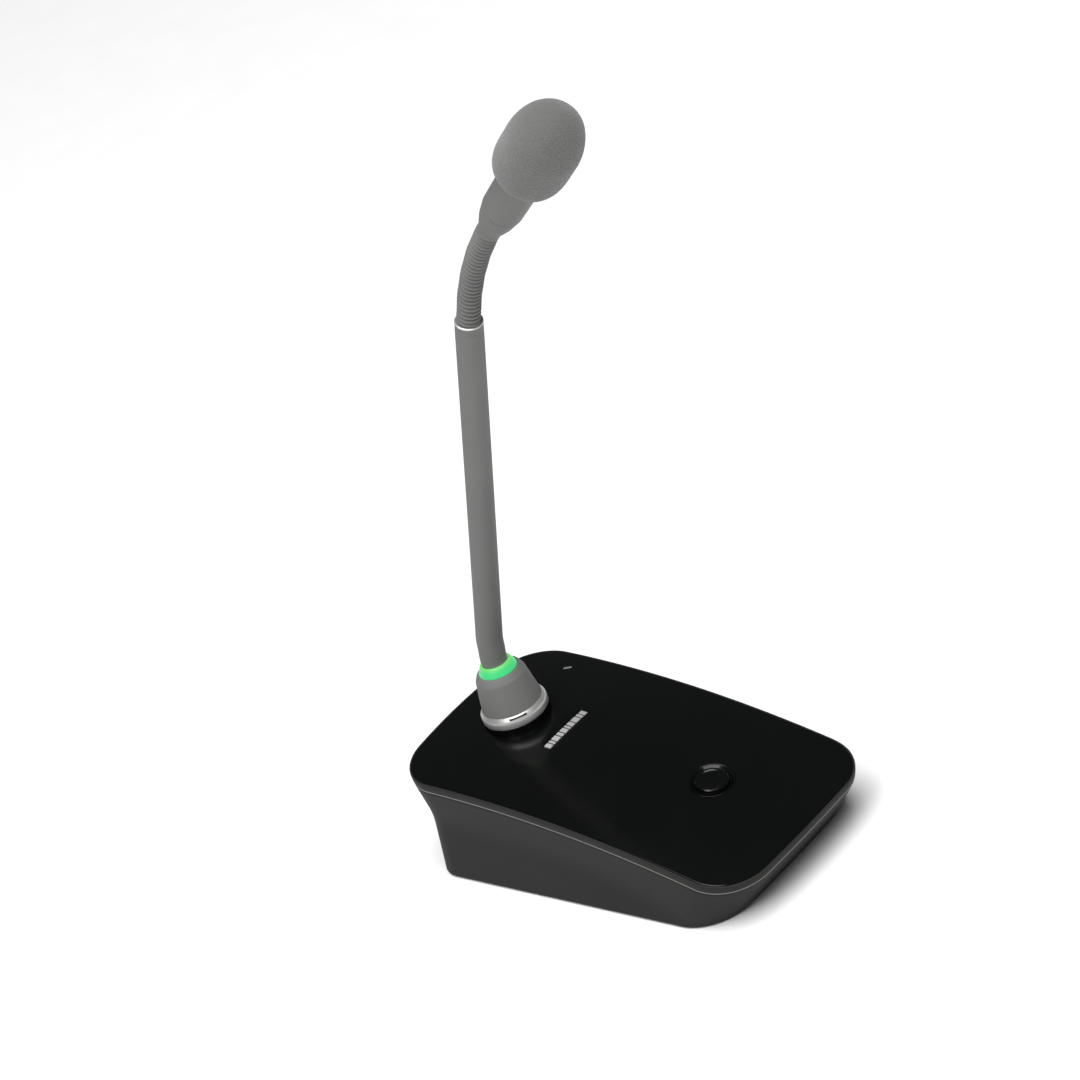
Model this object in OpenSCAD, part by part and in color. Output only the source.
// Desk microphone: a wedge-shaped wireless base with a bendable neck, in millimetres.
// +Z is up, the front is -Y, and the neck stands near the rear. The origin lies on the
// table, under the middle of the base.

/* [Base] */
// Width of the base
base_w = 66; // [64:1:72]
// Length of the base along its sides
base_l = 124; // [120:1:132]
// Height of the top's crest at the rear end
rear_h = 37.6; // [36:0.2:40]
// Height of the top's crest at the front end
front_h = 16.6; // [16:0.2:20]
// How far the crest bulges above a straight line from front to rear
arch_rise = 4.9; // [4:0.1:6]
// How far the top falls from its crest to its side edges
crown = 2.8; // [2:0.1:3.4]
// How far the front edge bows out at its middle
front_bow = 2.6; // [1:0.1:3]
// Radius of the top's rear corners
rear_r = 13.5; // [12:0.5:16]
// Radius of the top's front corners
front_r = 16; // [13:0.5:17]
// How far the front of the lip leans back, for each millimetre of height
front_tuck = 0.38; // [0:0.01:0.45]

/* [Lower body] */
// Width of the base where it meets the table
foot_w = 66.6; // [64:0.1:67]
// Distance from the middle to the rear of the foot
foot_rear = 61.5; // [60:0.5:62]
// Distance from the middle to the front of the foot
foot_front = 50.5; // [48:0.5:52]
// How far the sides pinch in below the top
waist_in = 2.1; // [0.5:0.1:3]
// Depth of the pinch below the seam
waist_drop = 12.6; // [12:0.5:16]
// Wall thickness of the lower shell
wall = 2; // [1.6:0.1:2.4]

/* [Cover] */
// Thickness of the cover at its lip
cover_t = 2.3; // [2.2:0.1:3.4]
// Thickness of the glossy panel let into the cover
panel_t = 1.2; // [0.8:0.1:1.6]
// Width of the cover's rim around the panel
rim_w = 0.6; // [0.4:0.1:1]
// Thickness of the gasket in the seam
gasket_t = 0.35; // [0.2:0.05:0.5]

/* [Talk button] */
// Distance of the button in front of the middle
button_front = 32.1; // [31:0.5:34]
// Radius of the button cap
button_r = 4.85; // [4.6:0.05:5]
// Height of the cap above the panel
button_proud = 0.6; // [0.5:0.1:0.9]
// How far the button travels
button_travel = 0.5; // [0.3:0.1:0.5]

/* [Cone] */
// Distance of the cone's axis behind the middle
cone_rear = 38.4; // [37:0.2:39]
// Radius of the chrome ring
ring_r = 10.1; // [9.9:0.1:10.4]
// Radius of the cone's foot
cone_foot_r = 9.1; // [8.9:0.1:9.3]
// Radius of the cone's shoulder
cone_top_r = 7.5; // [7.3:0.1:7.7]

/* [Neck] */
// Radius of the sleeved neck and its tube
neck_r = 3.9; // [3.7:0.05:4]
// Lean of the neck from vertical
neck_lean = 23.3; // [20:0.1:24]
// Distance from the lower flex's last pivot to the upper flex's first
tube_l = 100.6; // [80:0.2:140]
// Radius of the upper flex's links
upper_r = 3.3; // [3.2:0.05:3.5]
// Lean of the head from vertical
head_lean = 50.8; // [48:0.1:52]

/* [Head] */
// Radius of the foam windscreen at its widest
foam_r = 10.2; // [9.5:0.1:12]
// Length of the foam windscreen
foam_l = 30; // [28:0.5:36]

/* [Hidden] */

$fn = 72;
// Overshoot of a cutter past the face it cuts
eps = 0.1;
// Steps along each stretch of the base's outline
corner_steps = 8;
side_steps = 9;
front_steps = 6;
rear_steps = 4;

// The crest is an arc in the plane x = 0. Its centre lies below and behind the base.
arch_tilt = atan2(rear_h - front_h, base_l);
arch_chord = sqrt(base_l * base_l + pow(rear_h - front_h, 2));
arch_r = pow(arch_chord / 2, 2) / (2 * arch_rise) + arch_rise / 2;
arch_y = (arch_r - arch_rise) * sin(arch_tilt);
arch_z = (rear_h + front_h) / 2 - (arch_r - arch_rise) * cos(arch_tilt);
crown_r = pow(base_w / 2, 2) / (2 * crown) + crown / 2;

// Height of the top at x, y, or of the same surface sunk by deep
function top_z(x, y, deep = 0) =
    let (r = arch_r - crown_r + sqrt(pow(crown_r - deep, 2) - x * x))
    arch_z + sqrt(r * r - pow(y - arch_y, 2));
// Angle between the top's normal and +Z at y, leaning to the front
function top_lean(y) = asin((arch_y - y) / arch_r);

function arc_points(cx, cy, r, a0, a1, steps, first = 0, last = 0) =
    [for (i = [first:steps - last])
        let (a = a0 + (a1 - a0) * i / steps) [cx + r * cos(a), cy + r * sin(a)]];
function between(p, q, steps) = [for (i = [1:steps - 1]) p + (q - p) * i / steps];

// Outline of the base at one level, anticlockwise from the rear right corner:
// hw is its half width, yr and yf its reach to the rear and the front
function outline(hw, yr, yf, rr, rf, bow) =
    let (
        bow_r = (hw * hw + bow * bow) / (2 * bow),
        bow_y = bow_r - yf - bow,
        corner_y = bow_y - sqrt(pow(bow_r - rf, 2) - pow(hw - rf, 2)),
        turn = asin((hw - rf) / (bow_r - rf)),
        rear_y = yr - rr
    )
    concat(
        arc_points(hw - rr, rear_y, rr, 0, 90, corner_steps),
        between([hw - rr, yr], [rr - hw, yr], rear_steps),
        arc_points(rr - hw, rear_y, rr, 90, 180, corner_steps),
        between([-hw, rear_y], [-hw, corner_y], side_steps),
        arc_points(rf - hw, corner_y, rf, 180, 270 - turn, corner_steps),
        arc_points(0, bow_y, bow_r, 270 - turn, 270 + turn, front_steps, 1, 1),
        arc_points(hw - rf, corner_y, rf, 270 + turn, 360, corner_steps),
        between([hw, corner_y], [hw, rear_y], side_steps)
    );

foot_rear_r = 9;
foot_front_r = 14.8;
foot_bow = 1;
function top_outline(inset) =
    outline(base_w / 2 - inset, base_l / 2 - inset, base_l / 2 - inset,
        rear_r - inset, front_r - inset, front_bow);
function foot_outline(inset) =
    outline(foot_w / 2 - inset, foot_rear - inset, foot_front - inset,
        foot_rear_r - inset, foot_front_r - inset, foot_bow);

// Lower shell: each point of its wall lies between the top and the foot outlines
rim_z = 0.6;
seam_deep = cover_t + gasket_t;
rim_top = top_outline(0);
rim_foot = foot_outline(0);
ring_n = len(rim_top);
// Below the crest's front end the sides lean back: z moves a point this far to the rear
function tuck(z) = front_tuck * max(0, front_h - z);
function tucked_y(p, n = 3) =
    n == 0 ? p[1] : p[1] + tuck(top_z(p[0], tucked_y(p, n - 1), seam_deep));
rim_seam = [for (p = rim_top) [p[0], tucked_y(p)]];
// Clearance round the glossy panel
panel_gap = 0.03;
// The shell's rim stops just short of the gasket
rim_gap = 0.08;
function seam_z(i) = top_z(rim_seam[i][0], rim_seam[i][1], seam_deep) - rim_gap;
function wall_h(i) = seam_z(i) - rim_z;
function inward(i) =
    let (d = rim_top[(i + 1) % ring_n] - rim_top[(i + ring_n - 1) % ring_n])
    [-d[1], d[0]] / norm(d);
function soft_min(a, b, k) = min(a, b) - pow(max(k - abs(a - b), 0), 2) / (4 * k);
function pinch(d, h) =
    waist_in * min(1, max(0, (h - waist_drop) / 10))
    * soft_min(d / waist_drop, (h - d) / max(h - waist_drop, 1), 0.5);
function wall_point(i, s, inset) =
    let (
        h = wall_h(i),
        squeeze = s <= 0 || s >= 1 ? 0 : max(0, pinch(s * h, h)),
        p = rim_seam[i] * (1 - s) + rim_foot[i] * s + inward(i) * (squeeze + inset)
    )
    [p[0], p[1], seam_z(i) - s * h];
function wall_ring(s, inset) = [for (i = [0:ring_n - 1]) wall_point(i, s, inset)];
function level_ring(z, inset) =
    [for (i = [0:ring_n - 1]) wall_point(i, (seam_z(i) - z) / wall_h(i), inset)];

ledge_z = 3;
ledge_t = 1.2;
ledge_w = 1.6;
wall_stops = [0, 0.15, 0.28, 0.37, 0.44, 0.51, 0.6, 0.72, 0.86, 1];

// Bottom plate and what stands on it
plate_z = 1;
plate_top = ledge_z;
plate_gap = 0.5;
pad_inset = 4;
case_screw_spots = [[22, 48], [-22, 48], [22, -36], [-22, -36]];
boss_r = 3.25;
screw_r = 1.45;
screw_bore_r = 1.5;
screw_head_r = 2.9;
screw_len = 12;
ballast_size = [34, 31, 6];
ballast_y = -43;
ballast_screw_spots = [[10, -27.5], [-10, -27.5]];
tray_size = [40, 46, 8];
tray_y = -6;
tray_wall = 1.2;

// Main board
board_z = 16;
board_t = 1.6;
board_size = [36, 66];
board_y = -20;
board_screw_spots = [[15, -17], [-15, -17], [15, 24], [-15, 24]];
small_screw_r = 0.9;
small_bore_r = 0.95;

// Talk button, in a frame whose z = 0 lies on the crest and whose +Z is the top's normal
bezel_r = 6.6;
bezel_gap = 0.1;
bezel_flange_r = 7.1;
bezel_flange_z = -2.7;
bezel_foot_z = -3.8;
cap_flange_r = 5.6;
cap_flange_z = -4.8;
plunger_z = cap_flange_z - 1.4 - button_travel - 0.05;
switch_z = plunger_z - 3.75;
button_board_t = 1.6;
post_x = 9;

// Status lens beside the cone, and the blank strip in front of it
lens_x = 25.2;
lens_y = 41;
lens_l = 2.6;
lens_turn = 50;
lens_w = 0.8;
lens_gap = 0.1;
lens_reach = 8;
badge_y = 20.2;
badge_l = 18;
badge_w = 2.6;
badge_deep = 0.5;
badge_t = 0.45;

// Rear connectors
contact_x = -6;
contact_w = 16;
contact_z = 10;
contact_h = 7.6;
contact_face_y = 60.4;
slider_x = 10;
slider_travel = 4;
slider_w = 3.6;
slider_z = 10;

// Cone stack, as heights above the table
socket_seat_z = 34.8;
ring_z = 38.2;
ring_h = 4;
cone_z = ring_z + ring_h;
cone_h = 11.3;
lamp_z = cone_z + cone_h;
flange_r = 9.6;
flange_hole_r = 9.7;
socket_r = 7.5;
socket_bore_r = 5.1;
plug_r = 5;
slot_lean = 38;

// Neck pivots: each flex is a chain of links, and each link's pivot is a ball at its foot.
// Even pivots bend to the front and rear, odd ones to the sides.
lower_step = 4;
lower_count = 8;
upper_step = 4.3;
upper_count = 9;
first_bend = 15.3;
root_pivot = [cone_rear, 57];
function lower_lean(k) = k < 2 ? first_bend : neck_lean;
upper_bend = (head_lean - neck_lean) / 5;
function upper_lean(k) = neck_lean + upper_bend * (1 + floor(k / 2));
function step_on(p, lean, length) = p + length * [-sin(lean), cos(lean)];
function lower_pivot(k) =
    k == 0 ? root_pivot : step_on(lower_pivot(k - 1), lower_lean(k - 1), lower_step);
tube_pivot = lower_pivot(lower_count - 1);
function upper_pivot(k) =
    k == 0 ? step_on(tube_pivot, neck_lean, tube_l)
    : step_on(upper_pivot(k - 1), upper_lean(k - 1), upper_step);
head_pivot = upper_pivot(upper_count - 1);

lower_gap = 0.8;
upper_gap = 0.6;
lower_ball_r = 1.7;
upper_ball_r = 1.5;
ball_play = 0.05;
wire_r = 0.8;
edge = 0.3;

// Head, as distances along its axis from the last pivot
collar_end = 3;
step_line = 12.5;
foam_start = 27.6;
spigot_end = 33;
grille_end = 39;
spigot_r = 4.6;

dark_case = [0.22, 0.23, 0.23];
gloss_black = [0.04, 0.04, 0.04];
neck_grey = [0.45, 0.45, 0.44];
board_green = [0.05, 0.3, 0.15];
steel = [0.7, 0.7, 0.72];
gold = [0.85, 0.65, 0.25];

// Everything under the top's surface sunk by deep: a ring turned about the arch's axis
module under_top(deep) {
    translate([0, arch_y, arch_z])
        rotate([0, 90, 0])
            rotate_extrude($fn = 720)
                intersection() {
                    translate([arch_r - crown_r, 0])
                        circle(r = crown_r - deep, $fn = 360);
                    translate([arch_r - 60, -base_w])
                        square([61, 2 * base_w]);
                }
}
// Everything inside the base's sides, moved in by inset
module inside_sides(inset) {
    translate([0, 0, front_h])
        linear_extrude(height = rear_h)
            polygon(top_outline(inset));
    multmatrix([[1, 0, 0, 0], [0, 1, -front_tuck, front_tuck * front_h], [0, 0, 1, 0]])
        linear_extrude(height = front_h)
            polygon(top_outline(inset));
}
// Layer of the base between two depths below the top
module top_layer(inset, upper, lower) {
    difference() {
        intersection() {
            inside_sides(inset);
            under_top(upper);
        }
        under_top(lower);
    }
}
// Places its children on the crest at y, with their +Z along the top's normal
module on_crest(x, y) {
    translate([x, y, top_z(0, y)])
        rotate([top_lean(y), 0, 0])
            children();
}
module at_spots(spots, z) {
    for (p = spots)
        translate([p[0], p[1], z])
            children();
}
module turned(points) {
    rotate_extrude()
        polygon(points);
}

module socket_hole() {
    translate([0, cone_rear, 0]) {
        translate([0, 0, 20])
            cylinder(r = socket_r + 0.5, h = 30);
        translate([0, 0, socket_seat_z])
            cylinder(r = flange_hole_r, h = 10);
    }
}
module lens_hole() {
    on_crest(lens_x, lens_y)
        rotate([0, 0, -lens_turn])
            translate([-lens_l / 2 - lens_gap, -lens_w / 2 - lens_gap, -lens_reach])
                cube([lens_l + 2 * lens_gap, lens_w + 2 * lens_gap, lens_reach + 4]);
}
module badge_pocket(deep) {
    on_crest(0, badge_y)
        translate([-badge_l / 2, -badge_w / 2, -deep])
            cube([badge_l, badge_w, deep + 2]);
}

module top_panel() {
    color(gloss_black)
        difference() {
            top_layer(rim_w + panel_gap, 0, panel_t - panel_gap);
            socket_hole();
            lens_hole();
            badge_pocket(badge_deep);
            on_crest(0, -button_front)
                translate([0, 0, -5])
                    cylinder(r = bezel_r + bezel_gap, h = 10);
        }
}

module top_cover() {
    color(dark_case)
        difference() {
            union() {
                difference() {
                    top_layer(0, 0, cover_t);
                    top_layer(rim_w, -2, panel_t);
                }
                for (p = case_screw_spots)
                    translate([p[0], p[1], plate_top])
                        cylinder(r = boss_r, h = top_z(p[0], p[1], cover_t) + 0.6 - plate_top);
                for (p = board_screw_spots)
                    translate([p[0], p[1], board_z + board_t])
                        cylinder(r = 2.2,
                            h = top_z(p[0], p[1], cover_t) + 0.6 - board_z - board_t);
                on_crest(0, -button_front)
                    at_spots([[post_x, 0], [-post_x, 0]], switch_z)
                        cylinder(r = 1.8, h = -switch_z - cover_t + 0.6);
            }
            socket_hole();
            lens_hole();
            on_crest(0, -button_front)
                translate([0, 0, -5])
                    cylinder(r = bezel_r + bezel_gap, h = 10);
            at_spots(case_screw_spots, plate_top - eps)
                cylinder(r = screw_bore_r, h = screw_len);
            at_spots(board_screw_spots, board_z)
                cylinder(r = small_bore_r, h = 6.5);
            on_crest(0, -button_front)
                at_spots([[post_x, 0], [-post_x, 0]], switch_z - eps)
                    cylinder(r = small_bore_r, h = 5);
        }
}

module seam_gasket() {
    color([0.6, 0.6, 0.6])
        difference() {
            top_layer(0, cover_t, seam_deep);
            inside_sides(wall);
        }
}

module shell_walls() {
    rings = concat(
        [for (s = wall_stops) wall_ring(s, 0)],
        [level_ring(rim_z, wall), level_ring(ledge_z, wall),
        level_ring(ledge_z, wall + ledge_w), level_ring(ledge_z + ledge_t, wall + ledge_w),
        level_ring(ledge_z + ledge_t, wall), wall_ring(0.46, wall), wall_ring(0, wall)]
    );
    m = len(rings);
    polyhedron(
        points = [for (ring = rings) for (p = ring) p],
        faces = [for (k = [0:m - 1]) for (i = [0:ring_n - 1]) for (half = [0, 1])
            let (
                j = (i + 1) % ring_n,
                below = (k + 1) % m,
                a = k * ring_n + i,
                b = k * ring_n + j,
                c = below * ring_n + j,
                d = below * ring_n + i
            )
            half == 0 ? [a, b, c] : [a, c, d]]
    );
}

module lower_shell() {
    color(dark_case)
        difference() {
            shell_walls();
            translate([contact_x - contact_w / 2, 50, contact_z - contact_h / 2])
                cube([contact_w, 20, contact_h]);
            translate([slider_x - slider_w / 2 - 0.3, 50, slider_z - 2])
                cube([slider_w + slider_travel + 0.6, 20, 4]);
        }
}

module bottom_plate() {
    color(steel)
        difference() {
            translate([0, 0, plate_z])
                linear_extrude(height = plate_top - plate_z)
                    polygon(foot_outline(wall + plate_gap));
            at_spots(case_screw_spots, plate_z - eps)
                cylinder(r = screw_r + 0.25, h = 3);
            at_spots(case_screw_spots, plate_z - eps)
                cylinder(r1 = screw_head_r + 0.2, r2 = screw_r + 0.1, h = 1.6);
            at_spots(ballast_screw_spots, plate_z - eps)
                cylinder(r = screw_r + 0.25, h = 3);
            at_spots(ballast_screw_spots, plate_z - eps)
                cylinder(r1 = screw_head_r + 0.2, r2 = screw_r + 0.1, h = 1.6);
        }
}

module base_pad() {
    color([0.12, 0.12, 0.12])
        difference() {
            linear_extrude(height = plate_z)
                polygon(foot_outline(pad_inset));
            at_spots(case_screw_spots, -eps)
                cylinder(r = screw_head_r + 0.4, h = 2);
        }
}

module sunk_screw(length) {
    difference() {
        union() {
            cylinder(r1 = screw_head_r, r2 = screw_r, h = 1.5);
            cylinder(r = screw_r, h = length);
        }
        translate([0, 0, -eps])
            cylinder(r = 1, h = 0.9, $fn = 6);
    }
}
module case_screws() {
    color(steel)
        at_spots(case_screw_spots, plate_z)
            sunk_screw(screw_len);
}
module ballast_screws() {
    color(steel)
        at_spots(ballast_screw_spots, plate_z)
            sunk_screw(6.5);
}

module ballast_block() {
    color([0.4, 0.4, 0.42])
        difference() {
            translate([-ballast_size[0] / 2, ballast_y, plate_top])
                cube(ballast_size);
            at_spots(ballast_screw_spots, plate_top - eps)
                cylinder(r = screw_bore_r, h = 5);
        }
}

module board_screw(reach) {
    translate([0, 0, -1.3])
        cylinder(r = 1.9, h = 1.3);
    cylinder(r = small_screw_r, h = reach);
}
module main_board() {
    color(board_green)
        difference() {
            translate([-board_size[0] / 2, board_y, board_z])
                cube([board_size[0], board_size[1], board_t]);
            at_spots(board_screw_spots, board_z - eps)
                cylinder(r = 1.1, h = 3);
        }
}
module board_screws() {
    color(steel)
        at_spots(board_screw_spots, board_z)
            board_screw(6);
}
module board_chips() {
    color([0.1, 0.1, 0.1])
        translate([0, 0, board_z + board_t]) {
            translate([-5, -2, 0])
                cube([10, 10, 1.2]);
            translate([-14, 4, 0])
                cube([6, 6, 1]);
            translate([8.5, 2, 0])
                cube([5, 9, 1.4]);
            translate([-9, 14, 0])
                cube([18, 7, 1.6]);
        }
}
module antenna() {
    color(gold)
        translate([-11, -19, board_z + board_t]) {
            translate([0, 0, 2.4])
                cube([22, 7, 0.5]);
            cube([0.5, 7, 2.4]);
            translate([5, 0, 0])
                cube([0.5, 3, 2.4]);
        }
}

module battery_tray() {
    color([0.15, 0.15, 0.16])
        translate([-tray_size[0] / 2, tray_y, plate_top])
            difference() {
                cube(tray_size);
                translate([tray_wall, tray_wall, tray_wall])
                    cube([tray_size[0] - 2 * tray_wall, tray_size[1] - 2 * tray_wall, 20]);
            }
}
module battery() {
    slack = 0.2;
    color([0.25, 0.35, 0.55])
        translate([-tray_size[0] / 2 + tray_wall + slack, tray_y + tray_wall + slack,
                plate_top + tray_wall])
            cube([tray_size[0] - 2 * (tray_wall + slack),
                tray_size[1] - 2 * (tray_wall + slack), 9]);
}

module talk_button() {
    color(gloss_black)
        on_crest(0, -button_front)
            turned([
                [0, cap_flange_z - 1.4], [1.2, cap_flange_z - 1.4], [1.2, cap_flange_z],
                [cap_flange_r, cap_flange_z], [cap_flange_r, -3.9], [button_r, -3.9],
                [button_r, button_proud - 0.35], [button_r - 0.3, button_proud],
                [button_r - 0.8, button_proud], [2.5, button_proud - 0.25],
                [0, button_proud - 0.32]
            ]);
}
module button_bezel() {
    inner = button_r + bezel_gap;
    color(gloss_black)
        on_crest(0, -button_front)
            turned([
                [inner, bezel_foot_z], [bezel_flange_r, bezel_foot_z],
                [bezel_flange_r, bezel_flange_z], [bezel_r, bezel_flange_z], [bezel_r, 0],
                [bezel_r - 0.25, 0.05], [bezel_r - 0.5, -0.1], [inner + 0.5, -0.8],
                [inner, -0.85]
            ]);
}
module button_switch() {
    color([0.75, 0.75, 0.75])
        on_crest(0, -button_front) {
            translate([-3, -3, switch_z])
                cube([6, 6, 3]);
            translate([0, 0, switch_z + 3])
                cylinder(r = 1.5, h = 0.75);
        }
}
module button_board() {
    color(board_green)
        on_crest(0, -button_front)
            difference() {
                translate([-11, -4.5, switch_z - button_board_t])
                    cube([22, 9, button_board_t]);
                at_spots([[post_x, 0], [-post_x, 0]], switch_z - 2)
                    cylinder(r = 1.1, h = 3);
            }
}
module button_board_screws() {
    color(steel)
        on_crest(0, -button_front)
            at_spots([[post_x, 0], [-post_x, 0]], switch_z - button_board_t)
                board_screw(5);
}

module status_lens() {
    color([0.8, 0.8, 0.8])
        intersection() {
            on_crest(lens_x, lens_y)
                rotate([0, 0, -lens_turn])
                    translate([-lens_l / 2, -lens_w / 2, -lens_reach])
                        cube([lens_l, lens_w, lens_reach + 4]);
            top_layer(rim_w, 0, cover_t + 0.8);
        }
}
module badge_strip() {
    color([0.6, 0.6, 0.6])
        on_crest(0, badge_y)
            translate([-badge_l / 2, -badge_w / 2, -badge_deep])
                cube([badge_l, badge_w, badge_t]);
}

module contact_block() {
    color([0.1, 0.1, 0.1])
        difference() {
            translate([contact_x - contact_w / 2 + 0.1, 53, contact_z - contact_h / 2 + 0.1])
                cube([contact_w - 0.2, contact_face_y - 53, contact_h - 0.2]);
            for (x = [-5, 0, 5])
                translate([contact_x + x - 1.5, contact_face_y - 0.6, contact_z - 2.5])
                    cube([3, 2, 5]);
        }
}
module charge_contacts() {
    color(gold)
        for (x = [-5, 0, 5])
            translate([contact_x + x - 1.5, contact_face_y - 0.6, contact_z - 2.5])
                cube([3, 0.5, 5]);
}
module power_slider() {
    color(gloss_black) {
        translate([slider_x - slider_w / 2, 57.8, slider_z - 1.7])
            cube([slider_w, 3, 3.4]);
        translate([slider_x - slider_w / 2 - 0.7, 57, slider_z - 2.4])
            cube([slider_w + 1.4, 0.9, 4.8]);
    }
}
module power_switch() {
    color([0.6, 0.6, 0.62])
        difference() {
            translate([6, 51, slider_z - 3])
                cube([12, 5.9, 6]);
            translate([7.5, 55, slider_z - 1])
                cube([9, 4, 2]);
        }
}

module mic_socket() {
    color([0.06, 0.06, 0.06])
        translate([0, cone_rear, 0])
            turned([
                [0, board_z + board_t], [socket_r, board_z + board_t],
                [socket_r, socket_seat_z], [flange_r, socket_seat_z], [flange_r, ring_z],
                [socket_bore_r, ring_z], [socket_bore_r, 24], [0, 24]
            ]);
}
module chrome_ring() {
    color([0.8, 0.8, 0.8])
        translate([0, cone_rear, ring_z])
            difference() {
                turned([
                    [8.5, 0], [ring_r - 0.7, 0], [ring_r - 0.25, 0.3], [ring_r, 1],
                    [ring_r, 2.2], [ring_r - 0.12, 2.8], [ring_r - 0.35, 3.2],
                    [cone_foot_r, ring_h], [8.5, ring_h]
                ]);
                rotate([0, 0, -slot_lean])
                    translate([-2.6, -ring_r - 0.5, ring_h - 1])
                        cube([5.2, 1.5, 0.5]);
            }
}
module mic_plug() {
    color([0.2, 0.2, 0.2])
        translate([0, cone_rear, 0])
            turned([
                [0, 26], [plug_r, 26], [plug_r, ring_z + 0.1], [8.4, ring_z + 0.1],
                [8.4, ring_z + 1.6], [5.6, ring_z + 1.6], [5.6, cone_z + 1],
                [0, cone_z + 1]
            ]);
}
module plug_pins() {
    color(gold)
        translate([0, cone_rear, 24])
            for (a = [45:90:315])
                rotate([0, 0, a])
                    translate([2.6, 0, 0])
                        cylinder(r = 0.45, h = 2, $fn = 24);
}
module cone_shell() {
    lining = 1.2;
    color(neck_grey)
        translate([0, cone_rear, cone_z])
            turned([
                [cone_foot_r - lining, 0], [cone_foot_r, 0], [cone_top_r + 0.1, cone_h - 2.4],
                [cone_top_r - 0.1, cone_h - 1.3], [cone_top_r - 0.5, cone_h - 0.6],
                [cone_top_r - 1.1, cone_h - 0.15], [5.8, cone_h], [5.3, cone_h],
                [5.3, cone_h - 1], [6, cone_h - 1.3], [cone_top_r - lining - 0.2, cone_h - 2.4]
            ]);
}
module preamp_board() {
    color(board_green)
        translate([0, cone_rear, cone_z + 2.4])
            difference() {
                cylinder(r = 7.1, h = 1.2);
                translate([0, 0, -1])
                    cylinder(r = neck_r, h = 4);
            }
}
module led_board() {
    color(board_green)
        translate([0, cone_rear, lamp_z - 3.3])
            difference() {
                cylinder(r = 6, h = 1);
                translate([0, 0, -1])
                    cylinder(r = neck_r, h = 4);
            }
}
module ring_leds() {
    color([0.5, 1, 0.6])
        translate([0, cone_rear, lamp_z - 2.3])
            for (a = [0:60:300])
                rotate([0, 0, a])
                    translate([4.2, -0.6, 0])
                        cube([1, 1.2, 0.6]);
}
module light_ring() {
    color([0.35, 0.85, 0.5])
        translate([0, cone_rear, lamp_z])
            turned([
                [neck_r + 0.05, -1.6], [5.2, -1.6], [5.2, 0], [5.75, 0], [5.75, 0.25],
                [4.6, 2.6], [neck_r + 0.05, 2.7]
            ]);
}
module neck_root() {
    color(neck_grey)
        translate([0, cone_rear, cone_z + 1])
            difference() {
                cylinder(r = neck_r, h = root_pivot[1] - lower_gap - cone_z - 1);
                translate([0, 0, root_pivot[1] - cone_z - 1])
                    sphere(r = lower_ball_r + ball_play);
                translate([0, 0, 2])
                    cylinder(r = wire_r, h = 20);
            }
}

// Places its children at a pivot, with their +Z along the next link
module at_pivot(p, lean) {
    translate([0, p[0], p[1]])
        rotate([lean, 0, 0])
            children();
}
// Link with its ball at the origin and the next link's pivot at step
module link(r, step, gap, ball_r) {
    difference() {
        union() {
            sphere(r = ball_r);
            turned([
                [0, gap], [r - edge, gap], [r, gap + edge], [r, step - gap - edge],
                [r - edge, step - gap], [0, step - gap]
            ]);
        }
        translate([0, 0, step])
            sphere(r = ball_r + ball_play);
        translate([0, 0, -ball_r - 1])
            cylinder(r = wire_r, h = step + ball_r + 2);
    }
}
module lower_link(k) {
    color(neck_grey)
        at_pivot(lower_pivot(k - 1), lower_lean(k - 1))
            link(neck_r, lower_step, lower_gap, lower_ball_r);
}
module upper_link(k) {
    color(neck_grey)
        at_pivot(upper_pivot(k - 1), upper_lean(k - 1))
            link(upper_r, upper_step, upper_gap, upper_ball_r);
}

tube_bore_r = 2.6;
plug_end = 8;
ferrule_start = tube_l - 3.6;
module tube_plug() {
    color(steel)
        at_pivot(tube_pivot, neck_lean)
            difference() {
                union() {
                    sphere(r = lower_ball_r);
                    turned([
                        [0, lower_gap], [neck_r - edge, lower_gap],
                        [neck_r, lower_gap + edge], [neck_r, 2.4], [tube_bore_r, 2.4],
                        [tube_bore_r, plug_end], [0, plug_end]
                    ]);
                }
                translate([0, 0, -5])
                    cylinder(r = wire_r, h = plug_end + 6);
            }
}
module neck_tube() {
    color(neck_grey)
        at_pivot(tube_pivot, neck_lean)
            translate([0, 0, 2.4])
                difference() {
                    cylinder(r = neck_r, h = ferrule_start - 2.4);
                    translate([0, 0, -1])
                        cylinder(r = tube_bore_r, h = tube_l);
                }
}
module tube_cable() {
    color([0.1, 0.1, 0.1])
        at_pivot(tube_pivot, neck_lean)
            translate([0, 0, plug_end])
                cylinder(r = 1.4, h = ferrule_start - 4 - plug_end);
}
module tube_ferrule() {
    color([0.4, 0.4, 0.4])
        at_pivot(tube_pivot, neck_lean)
            difference() {
                turned([
                    [0, ferrule_start - 4], [tube_bore_r, ferrule_start - 4],
                    [tube_bore_r, ferrule_start], [neck_r - 0.1, ferrule_start],
                    [neck_r - 0.1, tube_l - upper_gap - 0.5],
                    [upper_r, tube_l - upper_gap], [0, tube_l - upper_gap]
                ]);
                translate([0, 0, tube_l])
                    sphere(r = upper_ball_r + ball_play);
                translate([0, 0, ferrule_start - 5])
                    cylinder(r = wire_r, h = 10);
            }
}

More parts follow.
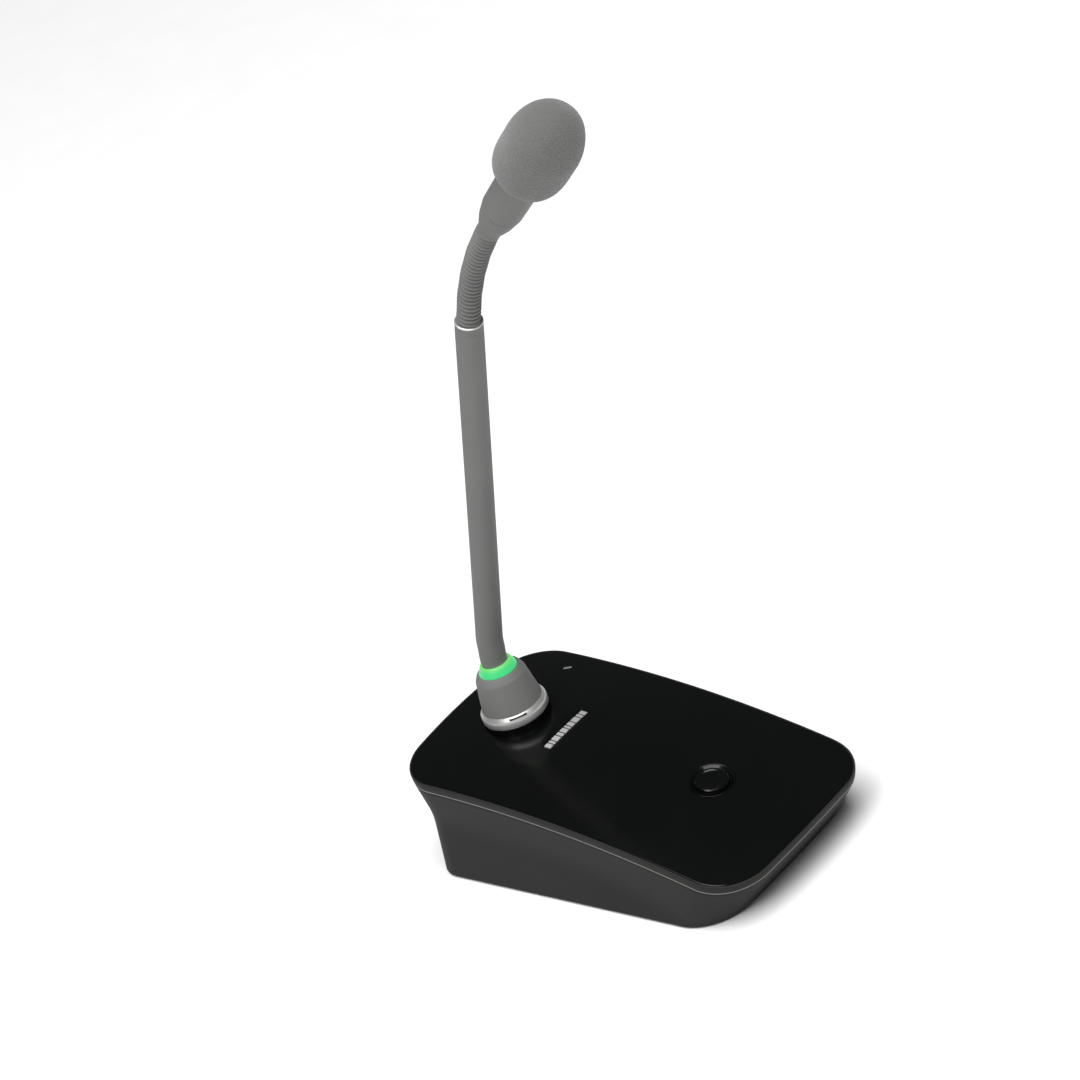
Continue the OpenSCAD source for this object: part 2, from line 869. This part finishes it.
module head_collar() {
    color(neck_grey)
        at_pivot(head_pivot, head_lean)
            difference() {
                union() {
                    sphere(r = upper_ball_r);
                    turned([
                        [0, upper_gap], [3, upper_gap], [3.3, upper_gap + 0.3],
                        [3.3, collar_end], [2.4, collar_end], [2.4, 6], [0, 6]
                    ]);
                }
                translate([0, 0, -3])
                    cylinder(r = wire_r, h = 12);
            }
}
module capsule_housing() {
    color([0.42, 0.42, 0.42])
        at_pivot(head_pivot, head_lean)
            turned([
                [2.4, collar_end], [3.3, collar_end], [4, 5], [4.85, 8],
                [5.6, step_line - 0.2], [5.4, step_line], [5.65, step_line + 0.2],
                [5.9, foam_start - 0.3], [5.75, foam_start], [spigot_r, foam_start],
                [spigot_r, spigot_end],
                [3.7, spigot_end], [3.7, 9], [2.4, 7]
            ]);
}
module capsule() {
    color(steel)
        at_pivot(head_pivot, head_lean)
            translate([0, 0, spigot_end - 6])
                cylinder(r = 3.7, h = 6);
}
module capsule_grille() {
    color([0.15, 0.15, 0.15])
        at_pivot(head_pivot, head_lean)
            difference() {
                turned([
                    [3.7, spigot_end], [spigot_r, spigot_end], [spigot_r, grille_end - 1],
                    [spigot_r - 1, grille_end], [0, grille_end], [0, grille_end - 1],
                    [3.7, grille_end - 1]
                ]);
                for (a = [0:60:120])
                    rotate([0, 0, a])
                        translate([-6, -0.6, spigot_end + 1.2])
                            cube([12, 1.2, 2.6]);
            }
}

// Foam windscreen: an egg with a blunt foot where it grips the housing
foam_wide = 0.48;
foam_foot_r = 5.95;
function foam_radius(t) =
    t < foam_wide
    ? foam_foot_r + (foam_r - foam_foot_r) * pow(1 - pow(1 - t / foam_wide, 4.8), 0.8)
    : foam_r * sqrt(max(0, 1 - pow((t - foam_wide) / (1 - foam_wide), 2.2)));
foam_steps = 28;
module windscreen() {
    color([0.5, 0.5, 0.5])
        at_pivot(head_pivot, head_lean)
            turned(concat(
                [[spigot_r, foam_start]],
                [for (i = [0:foam_steps])
                    let (t = (1 - cos(180 * i / foam_steps)) / 2)
                    [foam_radius(t), foam_start + foam_l * t]],
                [[0, grille_end], [spigot_r, grille_end]]
            ));
}

top_panel();
top_cover();
seam_gasket();
lower_shell();
bottom_plate();
base_pad();
case_screws();
ballast_block();
ballast_screws();
main_board();
board_screws();
board_chips();
antenna();
battery_tray();
battery();
talk_button();
button_bezel();
button_switch();
button_board();
button_board_screws();
status_lens();
badge_strip();
contact_block();
charge_contacts();
power_slider();
power_switch();
mic_socket();
chrome_ring();
mic_plug();
plug_pins();
cone_shell();
preamp_board();
led_board();
ring_leds();
light_ring();
neck_root();
lower_link(1);  // lower_link_1
lower_link(2);  // lower_link_2
lower_link(3);  // lower_link_3
lower_link(4);  // lower_link_4
lower_link(5);  // lower_link_5
lower_link(6);  // lower_link_6
lower_link(7);  // lower_link_7
tube_plug();
neck_tube();
tube_cable();
tube_ferrule();
upper_link(1);  // upper_link_1
upper_link(2);  // upper_link_2
upper_link(3);  // upper_link_3
upper_link(4);  // upper_link_4
upper_link(5);  // upper_link_5
upper_link(6);  // upper_link_6
upper_link(7);  // upper_link_7
upper_link(8);  // upper_link_8
head_collar();
capsule_housing();
capsule();
capsule_grille();
windscreen();
